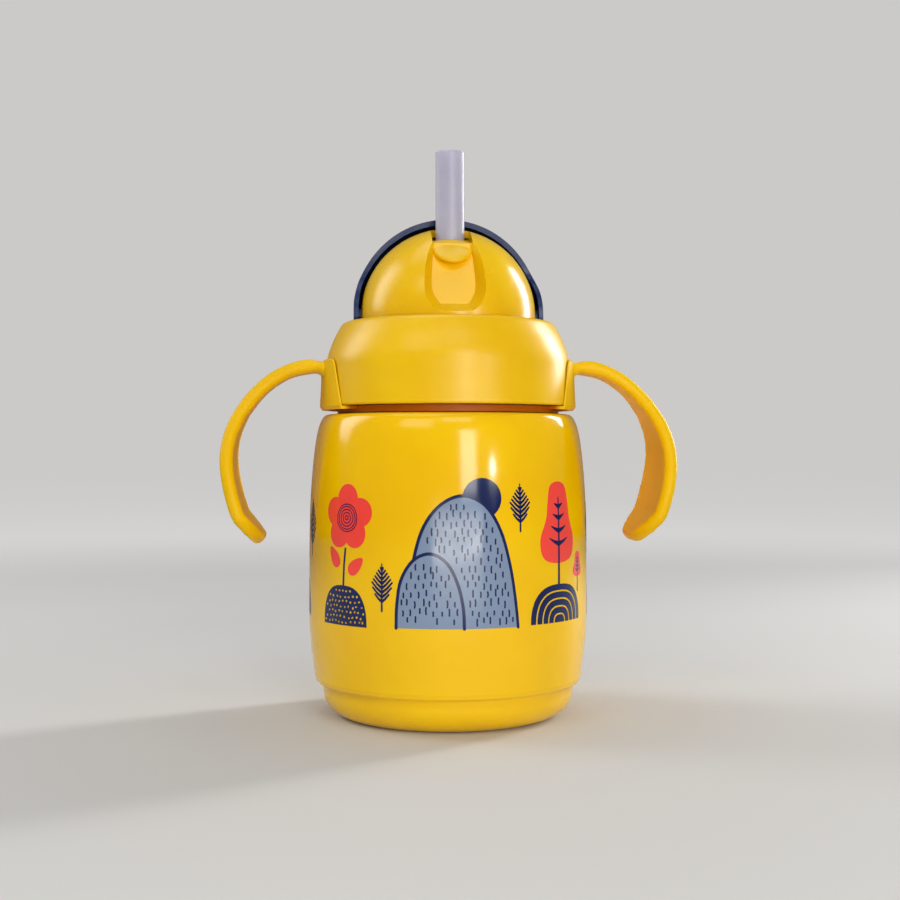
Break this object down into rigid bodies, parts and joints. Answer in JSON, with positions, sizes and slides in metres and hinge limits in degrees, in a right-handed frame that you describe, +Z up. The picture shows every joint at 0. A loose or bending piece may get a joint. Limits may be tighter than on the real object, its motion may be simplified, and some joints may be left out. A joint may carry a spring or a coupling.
{
  "type": "kids straw water bottle",
  "caption": "Toddler straw cup with two curved side handles, a screw collar, a domed straw lid and a flip-over cover.",
  "frame": {"origin": "centre of the underside of the foot, on the cup's axis", "axes": "+Z up along the cup's axis, -Y the front where the straw folds down, +X and -X the two handles"},
  "size_m": [0.1276, 0.079, 0.1589],
  "materials": {
    "shell": "high gloss moulded polypropylene",
    "liner": "natural polypropylene",
    "handle": "semi-gloss moulded polypropylene",
    "collar": "satin moulded polypropylene",
    "dome": "semi-gloss moulded polypropylene",
    "cover": "semi-gloss moulded polypropylene",
    "straw": "translucent silicone",
    "silicone": "satin silicone",
    "steel": "turned stainless steel"
  },
  "bodies": {
    "cup": {"outer_shell": "shell", "base_cap": "shell", "inner_liner": "liner", "handle_ring": "handle"},
    "lid": {"straw_dome": "dome", "lid_seal": "silicone", "straw_base": "straw", "slit_valve": "silicone", "valve_housing": "liner", "vent_valve": "silicone"},
    "collar": {"screw_collar": "collar"},
    "cover": {"flip_cover": "cover"},
    "straw": {"straw_tip": "straw"},
    "weight": {"straw_tube": "straw", "weight_casing": "liner", "weight_cap": "liner", "weight_core": "steel"}
  },
  "joints": [
    {"name": "lid_lift", "type": "slide", "parent": "cup", "child": "lid", "axis": [0, 0, 1], "range_m": [0, 0.006]},
    {"name": "collar_turn", "type": "hinge", "parent": "lid", "child": "collar", "pos_m": [0, 0, 0.0953], "axis": [0, 0, 1], "range_deg": [0, 432]},
    {"name": "cover_swing", "type": "hinge", "parent": "lid", "child": "cover", "pos_m": [0, 0, 0.113], "axis": [1, 0, 0], "range_deg": [0, 95]},
    {"name": "straw_fold", "type": "hinge", "parent": "lid", "child": "straw", "pos_m": [0, -0.0062, 0.1342], "axis": [1, 0, 0], "range_deg": [0, 140], "deforming": ["straw_tip", "straw_base"]},
    {"name": "straw_swing", "type": "hinge", "parent": "lid", "child": "weight", "pos_m": [0, -0.0062, 0.092], "axis": [1, 0, 0], "range_deg": [-13, 22], "deforming": ["straw_tube"]}
  ],
  "couplings": [
    {"joint": "collar_turn", "follows": "lid_lift", "rad_per_m": 1256.6},
    {"joint": "straw_fold", "follows": "cover_swing", "ratio": 1.4737}
  ]
}
